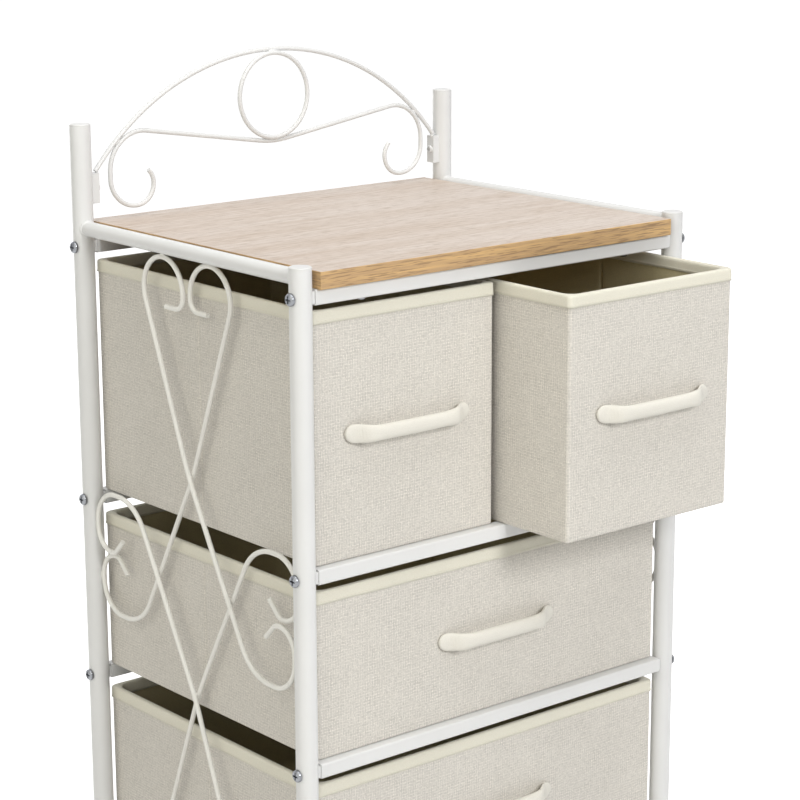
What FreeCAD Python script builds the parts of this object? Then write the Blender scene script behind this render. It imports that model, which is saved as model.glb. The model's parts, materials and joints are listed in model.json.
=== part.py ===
import FreeCAD, Part
import math
import os

os.makedirs("parts", exist_ok=True)
Vec = FreeCAD.Vector

# Fabric drawer dresser: a screwed steel-tube frame with bent-wire scrolls, a wood-look top board
# and four fabric drawers. Millimetres, +Z up, the front faces -Y, the origin lies on the floor in
# the middle between the four posts.

# Posts, rails and runners
post_d = 19.0
tube_wall = 1.2
post_span_x = 425.0
post_span_y = 321.0
leg_h = 101.6
rail_side = 13.0
rail_edge_r = 1.5
rail_end_gap = 1.0
side_rail_d = 13.5
high_side_rail_drop = 9.2
low_side_rail_drop = 4.5
front_post_rise = 4.3
back_post_rise = 88.8
runner_d = 8.0
runner_place_share = 0.25
weld_gap = 0.05

# Caps and feet pushed into the post ends
cap_h = 1.8
cap_edge_share = 0.65
foot_d = 22.0
foot_h = 8.0
foot_edge_share = 0.3
spigot_l = 10.0
spigot_gap = 0.1

# Rail screws and the threaded plugs they bite into
screw_d = 6.0
screw_head_d = 10.8
screw_head_h = 3.2
screw_bite = 14.0
screw_hole_gap = 0.3
thread_gap = 0.05
plug_l = 18.0
plug_gap = 0.1

# Small screws of the top board and of the arch
small_screw_d = 4.0
small_head_d = 7.5
small_head_h = 2.2
board_screw_bite = 10.0
board_screw_inset = 52.5
arch_screw_bite = 4.0

# Shares that shape every screw head
head_edge_share = 0.7
recess_length_share = 0.6
recess_width_share = 0.14
recess_depth_share = 0.55

# Top board
board_t = 15.0
board_side_gap = 3.0
board_front_overhang = 11.0
board_back_overhang = 13.0
board_edge_r = 0.8

# Side scrolls
scroll_wire_d = 4.4
heart_loop_r = 29.5
heart_curl_r = 11.0
heart_neck = 2.5
heart_tail = 26.0
crossing_bend_r = 300.0
hook_r = 10.0
hook_flat = 5.0
hook_tail = 20.0
hook_turn_deg = 45.0
diamond_width_share = 0.369
diamond_height_share = 0.344
side_loop_drop_share = 0.2
side_loop_outer_share = 0.52
side_loop_inner_share = 0.38
side_loop_entry_share = 0.8

# Back arch: heights are above the top board
arch_wire_d = 4.4
arch_rise = 142.0
arch_end_inset = 4.0
arch_setback = 1.5
arch_end_lean_share = 0.71
tab_stand = 6.0
tab_w = 10.0
tab_h = 27.0
tab_rise = 16.5
scroll_mid_rise = 54.5
scroll_mid_r = 100.0
crest_inset = 54.5
crest_r = 34.5
curl_rise = 10.0
curl_w = 46.5
curl_outer_share = 0.57
curl_inner_share = 0.41
curl_tail_r = 16.0
curl_tail_turn_deg = 45.0
curl_tail_l = 1.0
ring_lap = 3.5

# Drawers
small_drawer_h = 215.5
wide_drawer_h = 148.5
small_headroom = 6.5
wide_headroom = 9.0
run_gap = 0.3
drawer_side_gap = 2.0
drawer_middle_gap = 5.0
drawer_setback = 1.5
drawer_back_gap = 0.5
pulled_out = 87.5
cover_t = 1.0
board_core_t = 2.0
fold_gap = 2.0
lining_t = 0.8
binding_t = 0.8
ply_gap = 0.1
hem_h = 11.0
hem_inner_r = 1.2
cover_floor_r = 0.8
lining_floor_r = 1.2
base_board_t = 3.0
base_board_gap = 0.3
base_board_corner_r = 3.0

# Strap handles
strap_span = 126.0
strap_h = 16.5
strap_t = 9.0
strap_stand = 12.5
strap_root = 2.2
strap_lean = 16.0
strap_root_bend_r = 5.5
strap_bend_r = 16.0
strap_rise_share = 0.505
strap_edge_share = 0.47
slit_gap = 0.2

# How far a cutting shape runs past what it cuts, and the shortest straight run in a bent wire
overrun = 1.0
shortest_run = 0.001

# Places worked out from the sizes above
post_r = post_d / 2
post_x = post_span_x / 2
post_y = post_span_y / 2
post_face_x = post_x - post_r
rail_half = rail_side / 2
side_rail_r = side_rail_d / 2
wide_pitch = rail_side + run_gap + wide_drawer_h + wide_headroom
level_4 = leg_h
level_3 = level_4 + wide_pitch
level_2 = level_3 + wide_pitch
level_1 = level_2 + rail_side + run_gap + small_drawer_h + small_headroom
levels = [level_1, level_2, level_3, level_4]
board_bottom = level_1 + rail_half
board_top = board_bottom + board_t
front_post_top = board_top + front_post_rise
back_post_top = board_top + back_post_rise
high_side_rail_z = front_post_top - high_side_rail_drop
low_side_rail_z = level_4 - low_side_rail_drop
tab_low_z = board_top + tab_rise
tab_high_z = tab_low_z + tab_h
arch_screw_z = (tab_low_z + tab_high_z) / 2
arch_half_span = post_face_x - arch_end_inset
crest_x = post_face_x - crest_inset
board_screw_x = post_face_x - board_screw_inset
drawer_half_w = post_face_x - drawer_side_gap
drawer_inner_x = drawer_middle_gap / 2
drawer_front_y = -post_y + drawer_setback
drawer_depth = post_span_y - drawer_setback - drawer_back_gap
drawer_rise = rail_half + run_gap
sides = {"left": -1, "right": 1}
ends = {"front": -1, "back": 1}
post_tops = {"front": front_post_top, "back": back_post_top}

along_x = Vec(1, 0, 0)
along_y = Vec(0, 1, 0)
along_z = Vec(0, 0, 1)


def save(node, *solids):
    """Write one named piece, or a group of like pieces, to its own file."""
    shape = solids[0] if len(solids) == 1 else Part.makeCompound(list(solids))
    shape.exportStep(f"parts/{node}.step")


def rod(d, start, direction, length):
    """A round bar from a start point along a direction."""
    return Part.makeCylinder(d / 2, length, start, direction)


def tube(d, wall, start, direction, length):
    """A round tube with open ends."""
    bore = rod(d - 2 * wall, start - direction * overrun, direction, length + 2 * overrun)
    return rod(d, start, direction, length).cut(bore)


def block(low, high):
    """A box between two corners."""
    size = high - low
    return Part.makeBox(size.x, size.y, size.z, low)


def grown(low, high, by_side, by_low, by_high):
    """Two box corners moved outwards to the sides, below and above."""
    return low - Vec(by_side, by_side, by_low), high + Vec(by_side, by_side, by_high)


def eased(shape, radius, axis):
    """Round the straight edges of a shape that run along an axis."""
    straight = [edge for edge in shape.Edges if edge.Curve.TypeId == "Part::GeomLine"]
    edges = [edge for edge in straight if round(abs(edge.Curve.Direction.dot(axis))) == 1]
    return shape.makeFillet(radius, edges)


def slab(low, high, corner_r):
    """A box with round upright corners."""
    return eased(block(low, high), corner_r, along_z)


def tub(low, high, corner_r, floor_r):
    """A slab whose lower edge is round as well."""
    shape = slab(low, high, corner_r)
    middle_z = (low.z + high.z) / 2
    rim = [edge for edge in shape.Edges if edge.BoundBox.ZMax < middle_z]
    return shape.makeFillet(floor_r, rim)


def rounded_route(points, radii):
    """A wire of straight runs joined by tangent arcs, with one radius for each inner corner."""
    edges = []
    here = points[0]
    for before, corner, after, radius in zip(points, points[1:], points[2:], radii):
        way_in = (corner - before).normalize()
        way_out = (after - corner).normalize()
        half_turn = way_in.getAngle(way_out) / 2
        cut_back = radius * math.tan(half_turn)
        arc_start = corner - way_in * cut_back
        arc_end = corner + way_out * cut_back
        arc_middle = corner + (way_out - way_in).normalize() * (radius / math.cos(half_turn) - radius)
        if (arc_start - here).Length > shortest_run:
            edges.append(Part.LineSegment(here, arc_start).toShape())
        edges.append(Part.Arc(arc_start, arc_middle, arc_end).toShape())
        here = arc_end
    edges.append(Part.LineSegment(here, points[-1]).toShape())
    return Part.Wire(edges)


def bent_wire(route, d):
    """Round wire bent along a route."""
    start = route.Edges[0].valueAt(route.Edges[0].FirstParameter)
    tangent = route.Edges[0].tangentAt(route.Edges[0].FirstParameter)
    section = Part.Wire([Part.Circle(start, tangent, d / 2).toShape()])
    return route.makePipeShell([section], True, False)


def pan_screw(shank_d, shank_l, head_d, head_h, seat, outward):
    """A pan-head screw with a cross recess; the head's underside lies at the seat."""
    head = rod(head_d, Vec(), along_z, head_h)
    crown = [edge for edge in head.Edges if edge.BoundBox.ZMin > head_h / 2]
    head = head.makeFillet(head_h * head_edge_share, crown)
    shank = rod(shank_d, Vec(0, 0, -shank_l), along_z, shank_l + head_h / 2)
    screw = head.fuse(shank).removeSplitter()
    half_l = head_d * recess_length_share / 2
    half_w = head_d * recess_width_share / 2
    bottom_z = head_h * (1 - recess_depth_share)
    for half_x, half_y in ((half_l, half_w), (half_w, half_l)):
        screw = screw.cut(block(Vec(-half_x, -half_y, bottom_z), Vec(half_x, half_y, head_h + overrun)))
    screw.Placement = FreeCAD.Placement(seat, FreeCAD.Rotation(along_z, outward))
    return screw


def post_line(side, end):
    """The foot of a post's axis on the floor."""
    return Vec(side * post_x, end * post_y, 0)


def post_core(side, end, d):
    """A long cylinder on a post's axis, to shape what sits against the post."""
    return rod(d, post_line(side, end) - along_z * overrun, along_z, back_post_top + 2 * overrun)


def build_posts():
    """Four tubes, drilled for the rail screws and, at the back, for the arch screws."""
    hole_d = screw_d + 2 * screw_hole_gap
    arch_hole_d = small_screw_d + 2 * screw_hole_gap
    for end_name, end in ends.items():
        for side_name, side in sides.items():
            foot = post_line(side, end)
            length = post_tops[end_name] - cap_h - foot_h
            post = tube(post_d, tube_wall, foot + along_z * foot_h, along_z, length)
            for level in levels:
                start = foot + Vec(-post_r - overrun, 0, level)
                post = post.cut(rod(hole_d, start, along_x, post_d + 2 * overrun))
            if end_name == "back":
                start = foot + along_z * arch_screw_z
                post = post.cut(rod(arch_hole_d, start, along_x * -side, post_r + overrun))
            save(f"{end_name}_{side_name}_post", post)


def build_caps_and_feet():
    """Closed caps on the posts and feet under them, each with a spigot inside the tube."""
    spigot_d = post_d - 2 * tube_wall - 2 * spigot_gap
    caps = []
    feet = []
    for end_name, end in ends.items():
        for side in sides.values():
            foot_line = post_line(side, end)
            seat = foot_line + along_z * (post_tops[end_name] - cap_h)
            disc = rod(post_d, seat, along_z, cap_h)
            crown = [edge for edge in disc.Edges if edge.BoundBox.ZMin > seat.z + cap_h / 2]
            disc = disc.makeFillet(cap_h * cap_edge_share, crown)
            spigot = rod(spigot_d, seat - along_z * spigot_l, along_z, spigot_l + cap_h / 2)
            caps.append(disc.fuse(spigot).removeSplitter())
            pad = rod(foot_d, foot_line, along_z, foot_h)
            shoulder = [edge for edge in pad.Edges if edge.BoundBox.ZMin > foot_h / 2]
            pad = pad.makeFillet((foot_d - post_d) / 2 * foot_edge_share, shoulder)
            spigot = rod(spigot_d, foot_line + along_z * foot_h / 2, along_z, spigot_l + foot_h / 2)
            feet.append(pad.fuse(spigot).removeSplitter())
    save("post_caps", *caps)
    save("post_feet", *feet)


def build_side_rails():
    """Round tubes from front to back post, coped round the posts."""
    for height_name, z in {"top": high_side_rail_z, "bottom": low_side_rail_z}.items():
        for side_name, side in sides.items():
            rail = tube(side_rail_d, tube_wall, Vec(side * post_x, -post_y, z), along_y, post_span_y)
            for end in ends.values():
                rail = rail.cut(post_core(side, end, post_d + 2 * weld_gap))
            save(f"{side_name}_{height_name}_side_rail", rail)


def build_cross_rails():
    """Square tubes between left and right post, front and back, with their plugs and screws."""
    half_l = post_face_x - rail_end_gap
    plug_side = rail_side - 2 * tube_wall - 2 * plug_gap
    plugs = []
    screws = []
    for number, level in enumerate(levels, start=1):
        for end_name, end in ends.items():
            middle = Vec(0, end * post_y, level)
            reach = Vec(half_l, rail_half, rail_half)
            rail = eased(block(middle - reach, middle + reach), rail_edge_r, along_x)
            bore = Vec(half_l + overrun, rail_half - tube_wall, rail_half - tube_wall)
            rail = rail.cut(block(middle - bore, middle + bore))
            if number == 1:
                for side in sides.values():
                    start = middle + Vec(side * board_screw_x, 0, -rail_half - overrun)
                    hole_d = small_screw_d + 2 * screw_hole_gap
                    rail = rail.cut(rod(hole_d, start, along_z, rail_side + 2 * overrun))
            save(f"{end_name}_cross_rail_{number}", rail)
            for side in sides.values():
                plugs.append(end_plug(side, end, middle, half_l, plug_side))
                seat = middle + Vec(side * (post_x + post_r + weld_gap), 0, 0)
                length = post_d + weld_gap + screw_bite
                screws.append(pan_screw(screw_d, length, screw_head_d, screw_head_h, seat, along_x * side))
    save("rail_end_plugs", *plugs)
    save("rail_screws", *screws)


def end_plug(side, end, middle, half_l, plug_side):
    """A threaded plug in a rail's end, whose nose is hollowed to sit against the post."""
    inner = middle + Vec(side * (half_l - plug_l), -plug_side / 2, -plug_side / 2)
    outer = middle + Vec(side * post_x, plug_side / 2, plug_side / 2)
    low = Vec(min(inner.x, outer.x), inner.y, inner.z)
    high = Vec(max(inner.x, outer.x), outer.y, outer.z)
    plug = block(low, high).cut(post_core(side, end, post_d + 2 * weld_gap))
    thread_d = screw_d + 2 * thread_gap
    return plug.cut(rod(thread_d, middle + along_x * side * post_x, along_x * -side, post_x))


def build_runners():
    """Round bars from front to back rail, flush with the rail tops, that carry the drawers."""
    start_y = -post_y + rail_half + weld_gap
    width = drawer_half_w - drawer_inner_x
    inner_x = drawer_inner_x + width * runner_place_share
    outer_x = drawer_half_w - width * runner_place_share
    places = [(level_2, inner_x), (level_2, outer_x), (level_3, outer_x), (level_4, outer_x)]
    runners = []
    for level, x in places:
        for side in sides.values():
            start = Vec(side * x, start_y, level + rail_half - runner_d / 2)
            runners.append(rod(runner_d, start, along_y, -2 * start_y))
    save("drawer_runners", *runners)


def build_board():
    """The top board on the upper rails, and the screws that hold it from below."""
    half_w = post_face_x - board_side_gap
    low = Vec(-half_w, -post_y - board_front_overhang, board_bottom)
    high = Vec(half_w, post_y + board_back_overhang, board_top)
    board = block(low, high)
    board = board.makeFillet(board_edge_r, board.Edges)
    screws = []
    for side in sides.values():
        for end in ends.values():
            seat = Vec(side * board_screw_x, end * post_y, level_1 - rail_half)
            length = rail_side + board_screw_bite
            pilot_d = small_screw_d + 2 * thread_gap
            board = board.cut(rod(pilot_d, seat, along_z, length + thread_gap))
            screws.append(pan_screw(small_screw_d, length, small_head_d, small_head_h, seat, along_z * -1))
    save("top_board", board)
    save("board_screws", *screws)


def scroll_outline():
    """Corners and radii of one scroll wire, about the middle of its panel, as (y, z).

    The wire starts in the upper back loop, runs down across the panel and ends in the loop at the front.
    """
    wire_r = scroll_wire_d / 2
    layer = (scroll_wire_d + weld_gap) / 2
    half_w = post_y - math.sqrt((post_r + wire_r + weld_gap) ** 2 - layer ** 2)
    rail_reach = math.sqrt((side_rail_r + wire_r + weld_gap) ** 2 - layer ** 2)
    half_h = (high_side_rail_z - low_side_rail_z) / 2 - rail_reach
    diamond_w = half_w * diamond_width_share
    diamond_h = half_h * diamond_height_share
    loop_drop = half_h * side_loop_drop_share
    loop_middle = (wire_r + heart_loop_r, half_h - heart_loop_r)
    away_y = loop_middle[0]
    away_z = loop_middle[1] - diamond_h
    lean = math.atan2(away_y, away_z) + math.asin(heart_loop_r / math.hypot(away_y, away_z))
    lower_lean = math.atan2(diamond_w, diamond_h)
    tail_z = half_h - heart_loop_r - heart_neck - heart_curl_r
    entry_y = diamond_w * (1 + loop_drop / diamond_h)
    side_loop_h = loop_drop - wire_r
    outer_r = side_loop_h * side_loop_outer_share
    inner_r = side_loop_h * side_loop_inner_share
    entry_run = (half_w - entry_y - outer_r) * side_loop_entry_share
    entry_r = entry_run / math.tan(math.pi / 4 - lower_lean / 2)
    hook_y = half_w - inner_r - hook_flat
    hook_turn = math.radians(hook_turn_deg)
    corners = [
        (wire_r + heart_tail, tail_z),
        (wire_r, tail_z),
        (wire_r, half_h),
        ((half_h - diamond_h) * math.tan(lean), half_h),
        (0, diamond_h),
        (-entry_y, -loop_drop),
        (-half_w, -loop_drop),
        (-half_w, -wire_r),
        (-hook_y, -wire_r),
        (-hook_y + hook_tail * math.cos(hook_turn), -wire_r - hook_tail * math.sin(hook_turn)),
    ]
    radii = [heart_curl_r, heart_loop_r, heart_loop_r, crossing_bend_r, entry_r, outer_r, inner_r, hook_r]
    return corners, radii, layer


def build_scrolls():
    """Four wires in each side, in two layers, so that they cross and touch but share no space."""
    corners, radii, layer = scroll_outline()
    middle_z = (high_side_rail_z + low_side_rail_z) / 2
    wires = {
        "upper_back": (1, 1, 1),
        "lower_front": (-1, -1, 1),
        "upper_front": (-1, 1, -1),
        "lower_back": (1, -1, -1),
    }
    for side_name, side in sides.items():
        for wire_name, (flip_y, flip_z, depth) in wires.items():
            x = side * (post_x + depth * layer)
            points = [Vec(x, flip_y * y, middle_z + flip_z * z) for y, z in corners]
            wire = bent_wire(rounded_route(points, radii), scroll_wire_d)
            save(f"{side_name}_scroll_{wire_name}", wire)


def build_arch():
    """The arch, its lower scroll and its ring, in one plane but for the ring, which lies before them."""
    wire_r = arch_wire_d / 2
    plane_y = post_y - arch_setback
    apex_z = board_top + arch_rise
    end_z = tab_high_z + weld_gap + wire_r * arch_end_lean_share
    sag = apex_z - end_z
    arch_r = (arch_half_span ** 2 + sag ** 2) / (2 * sag)
    arch_middle_z = apex_z - arch_r
    places = [(-arch_half_span, end_z), (0, apex_z), (arch_half_span, end_z)]
    left_end, top, right_end = (Vec(x, plane_y, z) for x, z in places)
    bow = Part.Wire([Part.Arc(left_end, top, right_end).toShape()])
    save("arch_wire", bent_wire(bow, arch_wire_d))

    touch = arch_r - crest_r - arch_wire_d - weld_gap
    crest_z = arch_middle_z + math.sqrt(touch ** 2 - crest_x ** 2)
    low_z = board_top + scroll_mid_rise
    climb = crest_z - low_z
    slope = math.atan2(climb, crest_x) + math.asin(crest_r / math.hypot(crest_x, climb))
    outer_x = crest_x + crest_r
    inner_x = outer_x - curl_w
    curl_z = board_top + curl_rise
    inner_r = curl_w * curl_inner_share
    turn = math.radians(curl_tail_turn_deg)
    tail_cut = curl_tail_r * math.tan(turn / 2)
    tail_z = curl_z + inner_r + tail_cut
    tail_run = tail_cut + curl_tail_l
    half = [
        (outer_x, low_z + outer_x * math.tan(slope)),
        (outer_x, curl_z),
        (inner_x, curl_z),
        (inner_x, tail_z),
        (inner_x + tail_run * math.sin(turn), tail_z + tail_run * math.cos(turn)),
    ]
    half_radii = [crest_r, curl_w * curl_outer_share, inner_r, curl_tail_r]
    corners = [(-x, z) for x, z in reversed(half)] + [(0, low_z)] + half
    points = [Vec(x, plane_y, z) for x, z in corners]
    radii = half_radii[::-1] + [scroll_mid_r] + half_radii
    save("arch_scroll_wire", bent_wire(rounded_route(points, radii), arch_wire_d))

    middle_z = low_z + scroll_mid_r * (1 / math.cos(slope) - 1)
    ring_r = (apex_z - middle_z) / 2 - ring_lap
    ring_y = plane_y - math.sqrt((arch_wire_d + weld_gap) ** 2 - ring_lap ** 2)
    save("arch_ring", Part.makeTorus(ring_r, wire_r, Vec(0, ring_y, (apex_z + middle_z) / 2), along_y))


def build_arch_tabs():
    """Hollowed blocks against the back posts that carry the arch, each with one screw."""
    tabs = []
    screws = []
    for side in sides.values():
        near_x = side * (post_face_x - tab_stand)
        far_x = side * post_x
        low = Vec(min(near_x, far_x), post_y - tab_w / 2, tab_low_z)
        high = Vec(max(near_x, far_x), post_y + tab_w / 2, tab_high_z)
        tab = block(low, high).cut(post_core(side, 1, post_d + 2 * weld_gap))
        seat = Vec(near_x, post_y, arch_screw_z)
        length = tab_stand + tube_wall + arch_screw_bite
        tabs.append(tab.cut(rod(small_screw_d + 2 * thread_gap, seat, along_x * side, length)))
        screws.append(pan_screw(small_screw_d, length, small_head_d, small_head_h, seat, along_x * -side))
    save("arch_tabs", *tabs)
    save("arch_screws", *screws)


def build_drawer(name, left_x, right_x, front_y, floor_z, height):
    """One drawer: cover, lining, wall boards between them, base board, hem binding and handle.

    The x limits and the height are those of the binding, which stands out furthest.
    """
    lap = ply_gap + binding_t
    core = board_core_t + 2 * ply_gap
    low = Vec(left_x + lap, front_y, floor_z)
    high = Vec(right_x - lap, front_y + drawer_depth, floor_z + height - lap)
    wall = cover_t + core + lining_t
    lining_r = hem_inner_r + binding_t + ply_gap
    pocket_r = lining_r + lining_t + core
    cover_r = pocket_r + cover_t

    cover = tub(low, high, cover_r, cover_floor_r + cover_t)
    cover = cover.cut(tub(*grown(low, high, -cover_t, -cover_t, overrun), pocket_r, cover_floor_r))
    handle_middle = Vec((left_x + right_x) / 2, front_y, floor_z + height * strap_rise_share)
    slit = Vec(strap_t / 2 + slit_gap, cover_t + overrun, strap_h / 2 + slit_gap)
    for side in sides.values():
        leg = handle_middle + along_x * side * strap_span / 2
        cover = cover.cut(block(leg - slit, leg + slit))
    save(f"{name}_cover", cover)

    lining_low, lining_high = grown(low, high, -cover_t - core, -cover_t - ply_gap, 0)
    lining = tub(lining_low, lining_high, lining_r + lining_t, lining_floor_r + lining_t)
    inside = grown(lining_low, lining_high, -lining_t, -lining_t, overrun)
    save(f"{name}_lining", lining.cut(tub(*inside, lining_r, lining_floor_r)))

    save(f"{name}_wall_boards", *wall_boards(low, high, cover_r))

    base_low, base_high = grown(low, high, -wall - lining_floor_r - base_board_gap, 0, 0)
    base_low.z = lining_low.z + lining_t + ply_gap
    base_high.z = base_low.z + base_board_t
    save(f"{name}_base_board", slab(base_low, base_high, base_board_corner_r))

    hem_low = Vec(low.x, low.y, floor_z + height - hem_h)
    binding = slab(*grown(hem_low, high, lap, 0, lap), cover_r + lap)
    binding = binding.cut(slab(*grown(hem_low, high, -wall - lap, overrun, lap + overrun), hem_inner_r))
    channel = slab(*grown(hem_low, high, ply_gap, overrun, ply_gap), cover_r + ply_gap)
    tongue = slab(*grown(hem_low, high, -wall - ply_gap, 2 * overrun, overrun), lining_r - ply_gap)
    save(f"{name}_binding", binding.cut(channel.cut(tongue)))

    save(f"{name}_handle", strap_handle(handle_middle))


def wall_boards(low, high, cover_r):
    """Flat stiffener boards between cover and lining, clear of the round corners.

    Front and back have one board each. Each side has two, with a fold between them.
    """
    near = cover_t + ply_gap
    far = near + board_core_t
    bottom_z = low.z + cover_t + cover_floor_r
    boards = []
    for y0, y1 in ((low.y + near, low.y + far), (high.y - far, high.y - near)):
        corner = Vec(low.x + cover_r, y0, bottom_z)
        boards.append(block(corner, Vec(high.x - cover_r, y1, high.z)))
    fold_y = (low.y + high.y) / 2
    halves = [(low.y + cover_r, fold_y - fold_gap / 2), (fold_y + fold_gap / 2, high.y - cover_r)]
    for x0, x1 in ((low.x + near, low.x + far), (high.x - far, high.x - near)):
        for y0, y1 in halves:
            boards.append(block(Vec(x0, y0, bottom_z), Vec(x1, y1, high.z)))
    return boards


def strap_handle(middle):
    """A padded strap that comes out of one slit, bows across the front and goes into the other."""
    half = strap_span / 2
    half_bow = [(half - strap_lean, -strap_stand), (half, -strap_root), (half, cover_t)]
    places = [(-x, y) for x, y in reversed(half_bow)] + half_bow
    points = [middle + Vec(x, y, 0) for x, y in places]
    route = rounded_route(points, [strap_root_bend_r, strap_bend_r, strap_bend_r, strap_root_bend_r])
    across = along_x * strap_t / 2
    up = along_z * strap_h / 2
    around = [up, up + across, across - up, -up - across, up - across, up]
    corners = [points[0] + step for step in around]
    section = rounded_route(corners, [strap_t * strap_edge_share] * 4)
    return route.makePipeShell([section], True, False)


build_posts()
build_caps_and_feet()
build_side_rails()
build_cross_rails()
build_runners()
build_board()
build_scrolls()
build_arch()
build_arch_tabs()
build_drawer("left_small_drawer", -drawer_half_w, -drawer_inner_x, drawer_front_y,
             level_2 + drawer_rise, small_drawer_h)
build_drawer("right_small_drawer", drawer_inner_x, drawer_half_w, drawer_front_y - pulled_out,
             level_2 + drawer_rise, small_drawer_h)
build_drawer("upper_wide_drawer", -drawer_half_w, drawer_half_w, drawer_front_y,
             level_3 + drawer_rise, wide_drawer_h)
build_drawer("lower_wide_drawer", -drawer_half_w, drawer_half_w, drawer_front_y,
             level_4 + drawer_rise, wide_drawer_h)
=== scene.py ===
"""Looks of the fabric drawer dresser: powder-coated tubes and wires, an oak-look board, linen drawers.

Metres, +Z up, the front faces -Y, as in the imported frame.
"""
import json
import logging
import math
from collections.abc import Iterable, Sequence
from dataclasses import dataclass, replace
from enum import Enum

import bmesh
import bpy
from bmesh.types import BMesh, BMVert
from bpy.types import ID, Material, Node, NodeSocket, NodeTree, Object
from mathutils import Matrix, Vector, noise
from mathutils.bvhtree import BVHTree
from mathutils.geometry import interpolate_bezier

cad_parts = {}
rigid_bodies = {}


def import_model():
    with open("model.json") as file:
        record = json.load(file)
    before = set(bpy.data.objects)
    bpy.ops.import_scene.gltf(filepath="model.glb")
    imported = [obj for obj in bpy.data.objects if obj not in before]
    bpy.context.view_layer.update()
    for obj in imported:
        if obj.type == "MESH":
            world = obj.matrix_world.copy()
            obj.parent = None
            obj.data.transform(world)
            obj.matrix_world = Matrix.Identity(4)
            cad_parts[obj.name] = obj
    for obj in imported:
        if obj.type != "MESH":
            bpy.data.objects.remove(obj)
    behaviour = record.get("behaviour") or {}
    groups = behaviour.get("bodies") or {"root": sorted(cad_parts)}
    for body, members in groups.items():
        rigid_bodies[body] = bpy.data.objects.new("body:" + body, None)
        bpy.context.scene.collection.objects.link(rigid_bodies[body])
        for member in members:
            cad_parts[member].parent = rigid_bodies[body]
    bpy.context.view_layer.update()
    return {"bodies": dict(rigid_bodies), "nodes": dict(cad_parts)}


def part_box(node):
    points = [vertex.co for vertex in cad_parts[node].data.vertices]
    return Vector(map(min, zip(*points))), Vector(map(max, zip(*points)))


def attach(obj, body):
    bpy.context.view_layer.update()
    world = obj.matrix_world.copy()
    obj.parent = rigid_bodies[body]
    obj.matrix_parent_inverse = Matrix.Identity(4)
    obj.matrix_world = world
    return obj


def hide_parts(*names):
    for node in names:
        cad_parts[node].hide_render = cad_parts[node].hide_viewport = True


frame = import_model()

LOG = logging.getLogger("dresser")
MM = 0.001
QUARTER_TURN = math.pi / 2
UP = Vector((0, 0, 1))
CLOTH_MAP = "cloth"
SEED_STEP = 3.7
MIDDLE = (0.3, 0.7)
Triple = tuple[float, float, float]
Span = tuple[float, float]
Value = NodeSocket | float | Sequence[float]


class Facing(Enum):
    """Which face of a drawer's cloth shows."""

    OUTSIDE = 1
    INSIDE = -1


class Mix(Enum):
    """What a mix node mixes, with the type of its sockets."""

    NUMBER = ("FLOAT", "VALUE")
    PLACE = ("VECTOR", "VECTOR")
    COLOUR = ("RGBA", "RGBA")


def ease(share: float) -> float:
    """A smooth step from 0 to 1 over a share of 0 to 1."""
    held = min(1.0, max(0.0, share))
    return held * held * (3 - 2 * held)


def toned(colour: Triple, share: float = 1.0) -> tuple[float, ...]:
    """A colour made lighter or darker by a share, with full cover."""
    return tuple(min(1.0, channel * share) for channel in colour) + (1.0,)


def spread(length: float, step: float) -> list[float]:
    """Even places along a length with both its ends, about a step apart."""
    count = max(2, round(length / step))
    return [length * number / count for number in range(count + 1)]


def quarter(steps: int) -> list[float]:
    """Even angles over a quarter turn, with both its ends."""
    return [QUARTER_TURN * number / steps for number in range(steps + 1)]


def whole_turn(steps: int) -> list[float]:
    """Even angles over a whole turn, without its end."""
    return [math.tau * number / steps for number in range(steps)]


def cloth_noise(across: float, up: float, seed: float) -> float:
    """A smooth chance of 0 to 1 at a place on a cloth."""
    return noise.noise(Vector((across, up, seed))) * 0.5 + 0.5


def stand(name: str, data: ID) -> Object:
    """Make an object and put it into the scene.

    Args:
        name: its name.
        data: its mesh, lamp or camera.

    Returns:
        The new object.
    """
    made = bpy.data.objects.new(name, data)
    bpy.context.scene.collection.objects.link(made)
    return made


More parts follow.
